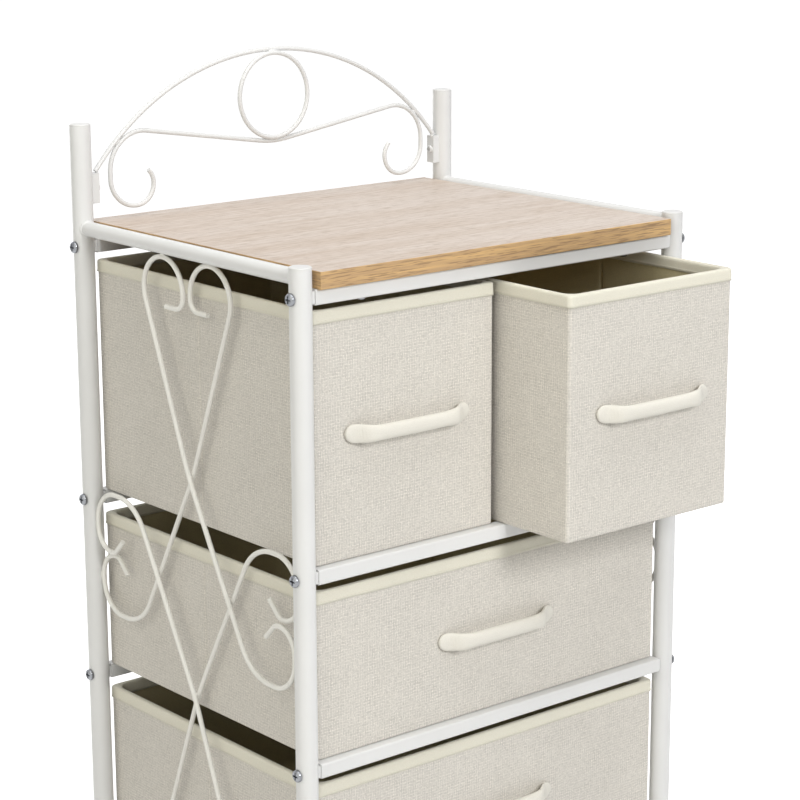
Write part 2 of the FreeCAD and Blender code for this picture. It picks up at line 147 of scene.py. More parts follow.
class Nodes:
    """Adds and joins the nodes of one shader tree."""

    def __init__(self, tree: NodeTree) -> None:
        """Keep the tree that is worked on."""
        self.tree = tree

    def find(self, kind: str) -> Node:
        """The tree's first node of a type."""
        return next(node for node in self.tree.nodes if node.type == kind)

    def add(self, kind: str, **settings: object) -> Node:
        """Add a node and set its properties.

        Args:
            kind: name of the node's type.
            settings: a value for each property.

        Returns:
            The new node.
        """
        node = self.tree.nodes.new(kind)
        for name, value in settings.items():
            setattr(node, name, value)
        return node

    def feed(self, target: NodeSocket, value: Value) -> None:
        """Join a socket to another, or set its value.

        Args:
            target: the input that is fed.
            value: a socket or a plain value.
        """
        if isinstance(value, NodeSocket):
            self.tree.links.new(value, target)
        else:
            target.default_value = value

    def feed_named(self, node: Node, **values: Value) -> Node:
        """Feed a node's inputs by name, with underscores for blanks.

        Args:
            node: the node.
            values: a socket or a plain value for each input.

        Returns:
            The same node.
        """
        for name, value in values.items():
            self.feed(node.inputs[name.replace("_", " ")], value)
        return node

    def calc(self, operation: str, *values: Value) -> NodeSocket:
        """Work out one number.

        Args:
            operation: name of the math node's operation.
            values: what goes in, in order.

        Returns:
            The result's socket.
        """
        node = self.add("ShaderNodeMath", operation=operation)
        for target, value in zip(node.inputs, values):
            self.feed(target, value)
        return node.outputs[0]

    def mix(
        self, kind: Mix, share: Value, first: Value, second: Value, how: str = "MIX"
    ) -> NodeSocket:
        """Mix two values.

        Args:
            kind: what the values are.
            share: 0 gives the first and 1 the second.
            first: the one value.
            second: the other value.
            how: name of the way that colours mix.

        Returns:
            The result's socket.
        """
        data_type, socket_type = kind.value
        node = self.add("ShaderNodeMix", data_type=data_type, blend_type=how)
        ends = [socket for socket in node.inputs if socket.type == socket_type][-2:]
        self.feed(node.inputs[0], share)
        for target, value in zip(ends, (first, second)):
            self.feed(target, value)
        return next(socket for socket in node.outputs if socket.type == socket_type)

    def remap(
        self, value: Value, low: float, high: float, to_low: float = 0.0, to_high: float = 1.0
    ) -> NodeSocket:
        """Carry a number from one range to another, held to it.

        Args:
            value: the number.
            low: where its range begins.
            high: where its range ends.
            to_low: what the beginning becomes.
            to_high: what the end becomes.

        Returns:
            The result's socket.
        """
        node = self.add("ShaderNodeMapRange", clamp=True)
        for target, item in zip(node.inputs, (value, low, high, to_low, to_high)):
            self.feed(target, item)
        return node.outputs[0]

    def stretched(self, place: Value, scale: Triple) -> NodeSocket:
        """Scale each axis of a place.

        Args:
            place: the place.
            scale: a share for each axis.

        Returns:
            The result's socket.
        """
        node = self.add("ShaderNodeVectorMath", operation="MULTIPLY")
        self.feed(node.inputs[0], place)
        self.feed(node.inputs[1], scale)
        return node.outputs[0]

    def parts(self, place: Value) -> Sequence[NodeSocket]:
        """Take a place apart.

        Args:
            place: the place.

        Returns:
            A socket for each number.
        """
        node = self.add("ShaderNodeSeparateXYZ")
        self.feed(node.inputs[0], place)
        return node.outputs

    def paired(self, first: Value, second: Value) -> NodeSocket:
        """Make a place of two numbers.

        Args:
            first: the number along the first axis.
            second: the number along the second axis.

        Returns:
            The result's socket.
        """
        node = self.add("ShaderNodeCombineXYZ")
        self.feed(node.inputs[0], first)
        self.feed(node.inputs[1], second)
        return node.outputs[0]

    def cloud(self, place: Value, scale: Value, detail: float = 2.0) -> NodeSocket:
        """Soft noise of 0 to 1 about a place."""
        node = self.add("ShaderNodeTexNoise")
        return self.feed_named(node, Vector=place, Scale=scale, Detail=detail).outputs[0]

    def bump(self, height: Value, distance: float) -> NodeSocket:
        """A normal that stands for a height in metres."""
        node = self.add("ShaderNodeBump")
        return self.feed_named(node, Height=height, Distance=distance, Strength=1.0).outputs[0]

    def placed(self, group: NodeTree, **values: Value) -> Node:
        """Place a node group and feed its inputs by name."""
        return self.feed_named(self.add("ShaderNodeGroup", node_tree=group), **values)


@dataclass(frozen=True)
class GroupMaker:
    """Builds each shared effect once, as a node group with named sockets."""

    slow_drift: float = 70.0
    quick_drift: float = 190.0
    quick_share: float = 2.2
    thread_roundness: float = 0.6
    least_arch: float = 0.55
    strands_apart: float = 7.31
    strand_change: float = 0.6
    chance_share: float = 0.5
    pair_share: float = 0.6
    least_lift: float = 0.7
    dot_scale: float = 45.0
    dot_range: Span = (0.35, 0.65)
    dot_shares: Span = (0.35, 0.85)
    broad_detail: float = 3.0
    fine_detail: float = 4.0
    fine_times: float = 9.0
    ripple_detail: float = 1.0
    ripple_times: float = 4.0
    ripple_share: float = 0.35

    def start(self, name: str, inputs: dict[str, str], outputs: Iterable[str]) -> tuple[Nodes, dict, dict]:
        """Make an empty group.

        Args:
            name: the group's name.
            inputs: socket type for each input name.
            outputs: names of the numbers that come out.

        Returns:
            The tree's helper, the sockets that come in and those that go out.
        """
        tree = bpy.data.node_groups.new(name, "ShaderNodeTree")
        for label, kind in inputs.items():
            tree.interface.new_socket(name=label, in_out="INPUT", socket_type=kind)
        for label in outputs:
            tree.interface.new_socket(name=label, in_out="OUTPUT", socket_type="NodeSocketFloat")
        nodes = Nodes(tree)
        source = nodes.add("NodeGroupInput").outputs
        sink = nodes.add("NodeGroupOutput").inputs
        return nodes, {item.name: item for item in source}, {item.name: item for item in sink}

    def start_on_place(self, name: str, outputs: Iterable[str]) -> tuple[Nodes, dict, dict, NodeSocket]:
        """Make an empty group that takes a place and a size.

        Args:
            name: the group's name.
            outputs: names of the numbers that come out.

        Returns:
            What start returns, and how often the size goes into a metre.
        """
        inputs = {"Place": "NodeSocketVector", "Size": "NodeSocketFloat"}
        nodes, given, result = self.start(name, inputs, outputs)
        return nodes, given, result, nodes.calc("DIVIDE", 1.0, given["Size"])

    def counted(self, nodes: Nodes, given: dict) -> list[NodeSocket]:
        """Count the warp and the weft threads across the cloth, each with a drift of its own.

        Args:
            nodes: the group's tree.
            given: the sockets that come in.

        Returns:
            The sockets of both counts.
        """
        mirrored = nodes.stretched(given["Cloth"], (-1.0, 1.0, 1.0))
        counts = []
        for across, place in zip(nodes.parts(given["Cloth"]), (given["Cloth"], mirrored)):
            slow = nodes.calc("SUBTRACT", nodes.cloud(place, self.slow_drift), 0.5)
            quick = nodes.calc("SUBTRACT", nodes.cloud(place, self.quick_drift), 0.5)
            drift = nodes.calc("MULTIPLY_ADD", quick, self.quick_share, slow)
            drift = nodes.calc("MULTIPLY", drift, given["Slub"])
            counts.append(nodes.calc("ADD", nodes.calc("DIVIDE", across, given["Pitch"]), drift))
        return counts

    def raised(self, nodes: Nodes, warp: Value, weft: Value) -> NodeSocket:
        """Lift a crossing: by chance, and more at every second thread both ways.

        Args:
            nodes: the group's tree.
            warp: number of the warp thread.
            weft: number of the weft thread.

        Returns:
            The result's socket.
        """
        chance = nodes.add("ShaderNodeTexWhiteNoise", noise_dimensions="2D")
        nodes.feed(chance.inputs["Vector"], nodes.paired(warp, weft))
        second_warp = nodes.calc("FLOORED_MODULO", warp, 2.0)
        second_weft = nodes.calc("FLOORED_MODULO", weft, 2.0)
        even = nodes.calc("MULTIPLY", nodes.calc("MULTIPLY", second_warp, second_weft), self.pair_share)
        return nodes.calc("MULTIPLY_ADD", chance.outputs["Value"], self.chance_share, even)

    def weave(self) -> NodeTree:
        """A plain weave: thread height, the tone of the thread on top, and which thread that is.

        Returns:
            The group.
        """
        nodes, given, result = self.start(
            "plain_weave",
            {"Cloth": "NodeSocketVector", "Pitch": "NodeSocketFloat", "Slub": "NodeSocketFloat"},
            ("Height", "Tone", "Weft"),
        )
        warp_at, weft_at = self.counted(nodes, given)
        warp, weft = (nodes.calc("FLOOR", at) for at in (warp_at, weft_at))
        warp_round, weft_round = (
            nodes.calc("ABSOLUTE", nodes.calc("SINE", nodes.calc("MULTIPLY", at, math.pi)))
            for at in (warp_at, weft_at)
        )
        heights = []
        tones = []
        for across, along, number, far in (
            (warp_round, weft_round, warp, weft_at),
            (weft_round, warp_round, weft, warp_at),
        ):
            arch = nodes.calc("MULTIPLY_ADD", along, 1 - self.least_arch, self.least_arch)
            full = nodes.calc("POWER", across, self.thread_roundness)
            heights.append(nodes.calc("MULTIPLY", full, arch))
            strand = nodes.paired(
                nodes.calc("MULTIPLY", number, self.strands_apart),
                nodes.calc("MULTIPLY", far, self.strand_change))
            tones.append(nodes.remap(nodes.cloud(strand, 1.0), *MIDDLE))
        weft_on_top = nodes.calc("FLOORED_MODULO", nodes.calc("ADD", warp, weft), 2.0)
        raised = self.raised(nodes, warp, weft)
        lift = nodes.calc("MULTIPLY_ADD", raised, 1 - self.least_lift, self.least_lift)
        height = nodes.mix(Mix.NUMBER, weft_on_top, *heights)
        tone = nodes.mix(Mix.NUMBER, weft_on_top, *tones)
        dotted = nodes.remap(nodes.cloud(given["Cloth"], self.dot_scale), *self.dot_range, *self.dot_shares)
        nodes.feed(result["Height"], nodes.calc("MULTIPLY", height, lift))
        nodes.feed(result["Tone"], nodes.mix(Mix.NUMBER, dotted, tone, raised))
        nodes.feed(result["Weft"], weft_on_top)
        return nodes.tree

    def mottle(self) -> NodeTree:
        """Slow and quick unevenness over a surface, for colour and gloss.

        Returns:
            The group.
        """
        nodes, given, result, often = self.start_on_place("mottle", ("Broad", "Fine"))
        finer = nodes.calc("MULTIPLY", often, self.fine_times)
        nodes.feed(result["Broad"], nodes.cloud(given["Place"], often, self.broad_detail))
        nodes.feed(result["Fine"], nodes.cloud(given["Place"], finer, self.fine_detail))
        return nodes.tree

    def ripple(self) -> NodeTree:
        """The faint ripple of sprayed or moulded skin.

        Returns:
            The group.
        """
        nodes, given, result, often = self.start_on_place("coat_ripple", ("Height",))
        finer = nodes.calc("MULTIPLY", often, self.ripple_times)
        broad = nodes.cloud(given["Place"], often, self.ripple_detail)
        fine = nodes.cloud(given["Place"], finer, self.ripple_detail)
        nodes.feed(result["Height"], nodes.calc("MULTIPLY_ADD", fine, self.ripple_share, broad))
        return nodes.tree


MAKER = GroupMaker()
WEAVE = MAKER.weave()
MOTTLE = MAKER.mottle()
RIPPLE = MAKER.ripple()


@dataclass(frozen=True)
class Finish:
    """What every finish has: a name, a colour and a roughness."""

    name: str
    colour: Triple
    roughness: float

    def inputs(self, nodes: Nodes, place: Value) -> dict[str, Value]:
        """What goes into the shader.

        Args:
            nodes: the material's tree.
            place: the place on the piece.

        Returns:
            A value for each input's name, with underscores for blanks.
        """
        raise NotImplementedError

    def build(self) -> Material:
        """Make the material.

        Returns:
            The new material.
        """
        material = bpy.data.materials.new(self.name)
        material.use_nodes = True
        nodes = Nodes(material.node_tree)
        place = nodes.add("ShaderNodeTexCoord").outputs["Object"]
        nodes.feed_named(nodes.find("BSDF_PRINCIPLED"), **self.inputs(nodes, place))
        return material

    def tones(self, nodes: Nodes, mask: Value, darkest: float, palest: float) -> NodeSocket:
        """The colour from dark to pale over a mask, as shares of itself."""
        return nodes.mix(Mix.COLOUR, mask, toned(self.colour, darkest), toned(self.colour, palest))

    def worn(self, nodes: Nodes, mask: Value, less: float, more: float) -> NodeSocket:
        """The roughness from less to more over a mask."""
        return nodes.remap(mask, *MIDDLE, self.roughness - less, self.roughness + more)


@dataclass(frozen=True)
class Coat(Finish):
    """Sprayed or moulded skin over metal or plastic."""

    ripple_size: float
    ripple_depth: float
    gloss: float
    mottle_size: float = 90.0 * MM
    mottle_range: Span = (0.35, 0.65)
    tone_shares: Span = (0.975, 1.01)
    wear: Span = (0.04, 0.05)

    def inputs(self, nodes: Nodes, place: Value) -> dict[str, Value]:
        """What goes into the shader.

        Args:
            nodes: the material's tree.
            place: the place on the piece.

        Returns:
            A value for each input's name.
        """
        uneven = nodes.placed(MOTTLE, Place=place, Size=self.mottle_size).outputs
        ripple = nodes.placed(RIPPLE, Place=place, Size=self.ripple_size).outputs[0]
        shade = nodes.remap(uneven["Broad"], *self.mottle_range)
        return dict(
            Base_Color=self.tones(nodes, shade, *self.tone_shares),
            Roughness=self.worn(nodes, uneven["Fine"], *self.wear),
            Specular_IOR_Level=self.gloss,
            Normal=nodes.bump(ripple, self.ripple_depth))


@dataclass(frozen=True)
class Plate(Finish):
    """Bright zinc on steel, with a fine turned grain."""

    mottle_size: float = 4.0 * MM
    tone_shares: Span = (0.8, 1.05)
    wear: Span = (0.08, 0.1)
    grain_depth: float = 0.02 * MM

    def inputs(self, nodes: Nodes, place: Value) -> dict[str, Value]:
        """What goes into the shader.

        Args:
            nodes: the material's tree.
            place: the place on the piece.

        Returns:
            A value for each input's name.
        """
        uneven = nodes.placed(MOTTLE, Place=place, Size=self.mottle_size).outputs
        shade = nodes.remap(uneven["Broad"], *MIDDLE)
        return dict(
            Base_Color=self.tones(nodes, shade, *self.tone_shares),
            Metallic=1.0,
            Roughness=self.worn(nodes, uneven["Fine"], *self.wear),
            Normal=nodes.bump(uneven["Fine"], self.grain_depth))


@dataclass(frozen=True)
class Cloth(Finish):
    """Woven cloth whose threads follow the piece's own cloth map, with painted shade darkening the colour
    in the hollows between threads.
    """

    weft_colour: Triple
    pitch: float
    slub: float
    depth: float
    contrast: float
    mottle_size: float = 110.0 * MM
    # thread heights over which the painted shade in the hollows between threads fades out, and how deep it
    # goes per share of contrast
    gap_shade_range: Span = (0.1, 0.6)
    gap_shade_share: float = 1.4
    fading: Span = (0.97, 1.02)
    hollow_roughness: float = 0.08
    fuzz_share: float = 0.3
    gloss: float = 0.2
    sheen: float = 0.12
    sheen_roughness: float = 0.5

    def inputs(self, nodes: Nodes, place: Value) -> dict[str, Value]:
        """What goes into the shader.

        Args:
            nodes: the material's tree.
            place: the place on the piece.

        Returns:
            A value for each input's name.
        """
        laid = nodes.add("ShaderNodeUVMap", uv_map=CLOTH_MAP).outputs[0]
        threads = nodes.placed(WEAVE, Cloth=laid, Pitch=self.pitch, Slub=self.slub).outputs
        uneven = nodes.placed(MOTTLE, Place=place, Size=self.mottle_size).outputs
        warp, weft = (
            yarn.tones(nodes, threads["Tone"], 1 - self.contrast, 1 + self.contrast)
            for yarn in (self, replace(self, colour=self.weft_colour))
        )
        colour = nodes.mix(Mix.COLOUR, threads["Weft"], warp, weft)
        # painted shade: the colour is darkened where the threads sit low, in the hollows between them, down
        # to this share
        darkest = 1 - self.gap_shade_share * self.contrast
        painted_gap_shade = nodes.remap(threads["Height"], *self.gap_shade_range, darkest, 1.0)
        faded = nodes.remap(uneven["Broad"], *MIDDLE, *self.fading)
        # the shade is the painted shade of the hollows times the cloth's own uneven fading
        shade = nodes.calc("MULTIPLY", painted_gap_shade, faded)
        roughest = min(1.0, self.roughness + self.hollow_roughness)
        height = nodes.calc("MULTIPLY_ADD", uneven["Fine"], self.fuzz_share, threads["Height"])
        return dict(
            Base_Color=nodes.mix(Mix.COLOUR, 1.0, colour, shade, "MULTIPLY"),
            Roughness=nodes.remap(threads["Height"], 0.0, 1.0, roughest, self.roughness),
            Specular_IOR_Level=self.gloss,
            Sheen_Weight=self.sheen,
            Sheen_Roughness=self.sheen_roughness,
            Normal=nodes.bump(height, self.depth))


@dataclass(frozen=True)
class WoodGrain(Finish):
    """Oak-look laminate: golden edge bands and a paler, greyer top, partly the laminate's own tone and
    partly painted reflection, with streaks and pores along the grain.

    The depths of streaks and pores are given for the edge bands and for the top.
    """

    edge_colour: Triple
    streak_colour: Triple
    pore_colour: Triple
    facing_range: Span = (0.6, 0.9)
    figure_grain: tuple[Triple, float] = ((2.2, 26.0, 70.0), 5.0)
    streak_grain: tuple[Triple, float] = ((9.0, 260.0, 420.0), 4.0)
    pore_grain: tuple[Triple, float] = ((55.0, 760.0, 1000.0), 2.0)
    figure_share: float = 0.55
    streak_share: float = 0.45
    dark_range: Span = (0.42, 0.62)
    pore_range: Span = (0.52, 0.64)
    streak_depths: Span = (0.7, 0.38)
    pore_depths: Span = (0.75, 0.5)
    wear: Span = (0.05, 0.07)
    gloss: float = 0.4
    streak_rise: float = 0.4
    relief_depth: float = 0.06 * MM

    def along_grain(self, nodes: Nodes, place: Value, facing: Value) -> NodeSocket:
        """Turn a place on the board's left and right ends, so that its first axis follows the grain.

        Args:
            nodes: the material's tree.
            place: the place on the board.
            facing: how far the surface faces along the board.

        Returns:
            The result's socket.
        """
        on_end = nodes.remap(nodes.calc("ABSOLUTE", facing), *self.facing_range)
        turned = nodes.add("ShaderNodeVectorRotate", rotation_type="Z_AXIS")
        nodes.feed_named(turned, Vector=place, Angle=QUARTER_TURN)
        return nodes.mix(Mix.PLACE, on_end, place, turned.outputs[0])

    def inputs(self, nodes: Nodes, place: Value) -> dict[str, Value]:
        """What goes into the shader.

        Args:
            nodes: the material's tree.
            place: the place on the piece.

        Returns:
            A value for each input's name.
        """
        facing = nodes.parts(nodes.add("ShaderNodeTexCoord").outputs["Normal"])
        top = nodes.remap(facing[2], *self.facing_range)
        grain = self.along_grain(nodes, place, facing[0])
        figure, streak, pores = (
            nodes.cloud(nodes.stretched(grain, scale), 1.0, detail)
            for scale, detail in (self.figure_grain, self.streak_grain, self.pore_grain)
        )
        bands = nodes.calc(
            "ADD",
            nodes.calc("MULTIPLY", figure, self.figure_share),
            nodes.calc("MULTIPLY", streak, self.streak_share))
        dark = nodes.remap(bands, *self.dark_range)
        pore = nodes.remap(pores, *self.pore_range)
        # painted reflection in part: faces turned up get the paler, greyer top colour, standing in for the
        # sheen of bright surroundings seen at a low angle as well as the laminate's own tone
        colour = nodes.mix(Mix.COLOUR, top, toned(self.edge_colour), toned(self.colour))
        for mask, depths, stain in (
            (dark, self.streak_depths, self.streak_colour),
            (pore, self.pore_depths, self.pore_colour),
        ):
            depth = nodes.calc("MULTIPLY", mask, nodes.mix(Mix.NUMBER, top, *depths))
            colour = nodes.mix(Mix.COLOUR, depth, colour, toned(stain))
        relief = nodes.calc("SUBTRACT", nodes.calc("MULTIPLY", streak, self.streak_rise), pore)
        return dict(
            Base_Color=colour,
            Roughness=self.worn(nodes, streak, *self.wear),
            Specular_IOR_Level=self.gloss,
            Normal=nodes.bump(relief, self.relief_depth))


@dataclass(frozen=True)
class PressedBoard(Finish):
    """Grey board of pressed paper, with fibres."""

    mottle_size: float = 12.0 * MM
    tone_shares: Span = (0.75, 1.15)
    wear: Span = (0.05, 0.0)
    fibre_depth: float = 0.08 * MM

    def inputs(self, nodes: Nodes, place: Value) -> dict[str, Value]:
        """What goes into the shader.

        Args:
            nodes: the material's tree.
            place: the place on the piece.

        Returns:
            A value for each input's name.
        """
        uneven = nodes.placed(MOTTLE, Place=place, Size=self.mottle_size).outputs
        return dict(
            Base_Color=self.tones(nodes, uneven["Fine"], *self.tone_shares),
            Roughness=self.worn(nodes, uneven["Broad"], *self.wear),
            Normal=nodes.bump(uneven["Fine"], self.fibre_depth))


class Finishes:
    """The dresser's finishes, each built once."""

    def __init__(self) -> None:
        """Build every material."""
        self.white_steel = Coat(
            "white_powder_coat", (0.695, 0.697, 0.695), 0.4,
            ripple_size=1.1 * MM, ripple_depth=0.012 * MM, gloss=0.5).build()
        self.wire_white = Coat(
            "wire_powder_coat", (0.78, 0.77, 0.73), 0.42,
            ripple_size=0.9 * MM, ripple_depth=0.012 * MM, gloss=0.45).build()
        self.white_plastic = Coat(
            "white_plastic", (0.66, 0.66, 0.655), 0.5,
            ripple_size=2.2 * MM, ripple_depth=0.01 * MM, gloss=0.4).build()
        self.zinc = Plate("zinc_plate", (0.27, 0.28, 0.30), 0.26).build()
        # the top colour is paler and greyer than the edge colour, partly as painted reflection
        self.oak = WoodGrain(
            "oak_laminate", (0.595, 0.515, 0.455), 0.42, edge_colour=(0.63, 0.41, 0.185),
            streak_colour=(0.37, 0.24, 0.14), pore_colour=(0.24, 0.15, 0.08)).build()
        self.linen = Cloth(
            "linen_cover", (0.70, 0.665, 0.61), 0.85, weft_colour=(0.74, 0.71, 0.655),
            pitch=1.32 * MM, slub=0.8, depth=0.26 * MM, contrast=0.19).build()
        self.hem = Cloth(
            "hem_binding", (0.735, 0.707, 0.603), 0.8, weft_colour=(0.755, 0.733, 0.633),
            pitch=0.55 * MM, slub=0.3, depth=0.07 * MM, contrast=0.06).build()
        self.lining = Cloth(
            "drawer_lining", (0.58, 0.51, 0.32), 0.85, weft_colour=(0.62, 0.55, 0.35),
            pitch=0.75 * MM, slub=0.5, depth=0.12 * MM, contrast=0.1).build()
        self.strap = Cloth(
            "handle_strap", (0.73, 0.705, 0.64), 0.75, weft_colour=(0.75, 0.73, 0.67),
            pitch=0.5 * MM, slub=0.25, depth=0.06 * MM, contrast=0.05).build()
        self.thread = Cloth(
            "hem_thread", (0.72, 0.68, 0.58), 0.7, weft_colour=(0.70, 0.66, 0.56),
            pitch=0.3 * MM, slub=0.1, depth=0.04 * MM, contrast=0.05).build()
        self.board = PressedBoard("grey_board", (0.32, 0.30, 0.26), 0.9).build()


@dataclass(frozen=True)
class Tag:
    """What a piece is finished with: its name, finish and body, and the name of its slot in the record."""

    name: str
    material: Material
    body: str
    slot: str


def finish_piece(mesh: BMesh, tag: Tag) -> Object:
    """Turn a mesh into a smooth piece that rides on a body.

    Args:
        mesh: the faces, which are used up.
        tag: what the piece carries.

    Returns:
        The new object.
    """
    data = bpy.data.meshes.new(tag.name)
    mesh.to_mesh(data)
    mesh.free()
    data.polygons.foreach_set("use_smooth", [True] * len(data.polygons))
    data.materials.append(tag.material)
    piece = stand(tag.name, data)
    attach(piece, tag.body)
    LOG.info("%s: %d faces on %s", tag.name, len(data.polygons), tag.body)
    return piece


@dataclass(frozen=True)
class Station:
    """One place on a drawer's outline, seen from above."""

    place: Vector
    outward: Vector
    along: float
    to_corner: float
    to_fold: float

    def at(self, out: float, z: float) -> Vector:
        """The point at a distance out of the outline and a height."""
        spot = self.place + self.outward * out
        return Vector((spot.x, spot.y, z))


@dataclass
class Outline:
    """The rounded rectangle that a drawer's cloth follows, walked anticlockwise from the front left."""

    low: Vector
    high: Vector
    corner_r: float
    step: float = 5.0 * MM
    corner_steps: int = 7
    fold_gaps: tuple[float, ...] = (0.0, 0.4 * MM, 0.9 * MM, 1.6 * MM, 3.0 * MM)
    fold_clear: float = 4.0 * MM

    def fold_places(self, length: float) -> list[float]:
        """Share out a side panel, closer together at its fold.

        Args:
            length: the panel's length.

        Returns:
            The distances in order.
        """
        middle = length / 2
        near = [middle + sign * gap for gap in self.fold_gaps for sign in (-1, 1)]
        kept = [place for place in spread(length, self.step) if abs(place - middle) > self.fold_clear]
        return sorted(set(kept + near))

    def straight(self, side: int) -> float:
        """Length of a side between its corners, where the odd sides are the drawer's flanks."""
        reach = self.high - self.low
        return (reach.y if side % 2 else reach.x) - 2 * self.corner_r

    def steps(self) -> list[tuple[int, float, float]]:
        """Share out the walk.

        Returns:
            For each step the side, the share of its straight part, and the angle round the corner after it.
        """
        found = []
        for side in range(4):
            length = self.straight(side)
            places = self.fold_places(length) if side % 2 else spread(length, self.step)
            found += [(side, at / length, 0.0) for at in places]
            found += [(side, 1.0, angle) for angle in quarter(self.corner_steps)[1:-1]]
        return found

    def spot(self, side: int, share: float, angle: float) -> tuple[Vector, Vector]:
        """Find where a step of the walk lies on this outline.

        Args:
            side: number of the side.
            share: share of its straight part.
            angle: angle round the corner after it.

        Returns:
            The place, and the way out of the outline.
        """
        r = self.corner_r
        low, high = self.low, self.high
        start, way = (
            (Vector((low.x + r, low.y, 0)), Vector((1, 0, 0))),
            (Vector((high.x, low.y + r, 0)), Vector((0, 1, 0))),
            (Vector((high.x - r, high.y, 0)), Vector((-1, 0, 0))),
            (Vector((low.x, high.y - r, 0)), Vector((0, -1, 0))),
        )[side]
        square = Vector((way.y, -way.x, 0))
        outward = square * math.cos(angle) + way * math.sin(angle)
        return start + way * (self.straight(side) * share) + (outward - square) * r, outward

    def stations(self) -> list[Station]:
        """Walk the outline once.

        Returns:
            The places in order; the first isn't repeated at the end.
        """
        corner = QUARTER_TURN * self.corner_r
        before = [sum(self.straight(earlier) + corner for earlier in range(side)) for side in range(4)]
        found = []
        for side, share, angle in self.steps():
            length = self.straight(side)
            at = length * share
            place, outward = self.spot(side, share, angle)
            to_fold = abs(at - length / 2) if side % 2 else length
            along = before[side] + at + angle * self.corner_r
            found.append(Station(place, outward, along, min(at, length - at), to_fold))
        return found

    def inset(self, inward: float, corner_r: float) -> "Outline":
        """The outline further in, with corners of its own."""
        edge = Vector((inward, inward, 0))
        return replace(self, low=self.low + edge, high=self.high - edge, corner_r=corner_r)

    def girth(self) -> float:
        """The length of the walk."""
        return sum(self.straight(side) for side in range(4)) + math.tau * self.corner_r

    def laid(self, stations: Sequence[Station], up: float) -> list[Vector]:
        """Cloth places of a ring at a height on the cloth, with the first place again at the end."""
        return [Vector((station.along, up)) for station in stations] + [Vector((self.girth(), up))]


class Skin:
    """A mesh made ring by ring, with a cloth map in metres."""

    def __init__(self) -> None:
        """Start with no rings."""
        self.mesh = bmesh.new()
        self.map = self.mesh.loops.layers.uv.new(CLOTH_MAP)

    def ring(self, places: Iterable[Vector]) -> list[BMVert]:
        """Add one ring of points."""
        return [self.mesh.verts.new(place) for place in places]

    def join(
        self, lower: Sequence[BMVert], upper: Sequence[BMVert],
        lower_map: Sequence[Vector], upper_map: Sequence[Vector],
    ) -> None:
        """Join two rings by faces.

        Args:
            lower: first ring.
            upper: second ring, with as many points.
            lower_map: cloth places of the first ring, one more than its points.
            upper_map: cloth places of the second ring.
        """
        count = len(lower)
        for here in range(count):
            there = (here + 1) % count
            face = self.mesh.faces.new((lower[here], lower[there], upper[there], upper[here]))
            spots = (lower_map[here], lower_map[here + 1], upper_map[here + 1], upper_map[here])
            for loop, spot in zip(face.loops, spots):
                loop[self.map].uv = spot[:2]

    def close(self, ring: Sequence[BMVert]) -> None:
        """Fill a ring with one face, mapped from above.

        Args:
            ring: the ring's points in order.
        """
        face = self.mesh.faces.new(ring)
        for loop in face.loops:
            loop[self.map].uv = loop.vert.co.xy

    def loft(
        self, rings: Sequence[list[BMVert]], maps: Sequence[Sequence[Vector]], capped: bool = False
    ) -> None:
        """Join each ring to the next.

        Args:
            rings: the rings in order.
            maps: cloth places of each ring.
            capped: fill the first and the last ring.
        """
        for number in range(len(rings) - 1):
            self.join(rings[number], rings[number + 1], maps[number], maps[number + 1])
        if capped:
            self.close(rings[0][::-1])
            self.close(rings[-1])

    def face_out(self) -> None:
        """Turn all faces outwards."""
        bmesh.ops.recalc_face_normals(self.mesh, faces=self.mesh.faces[:])


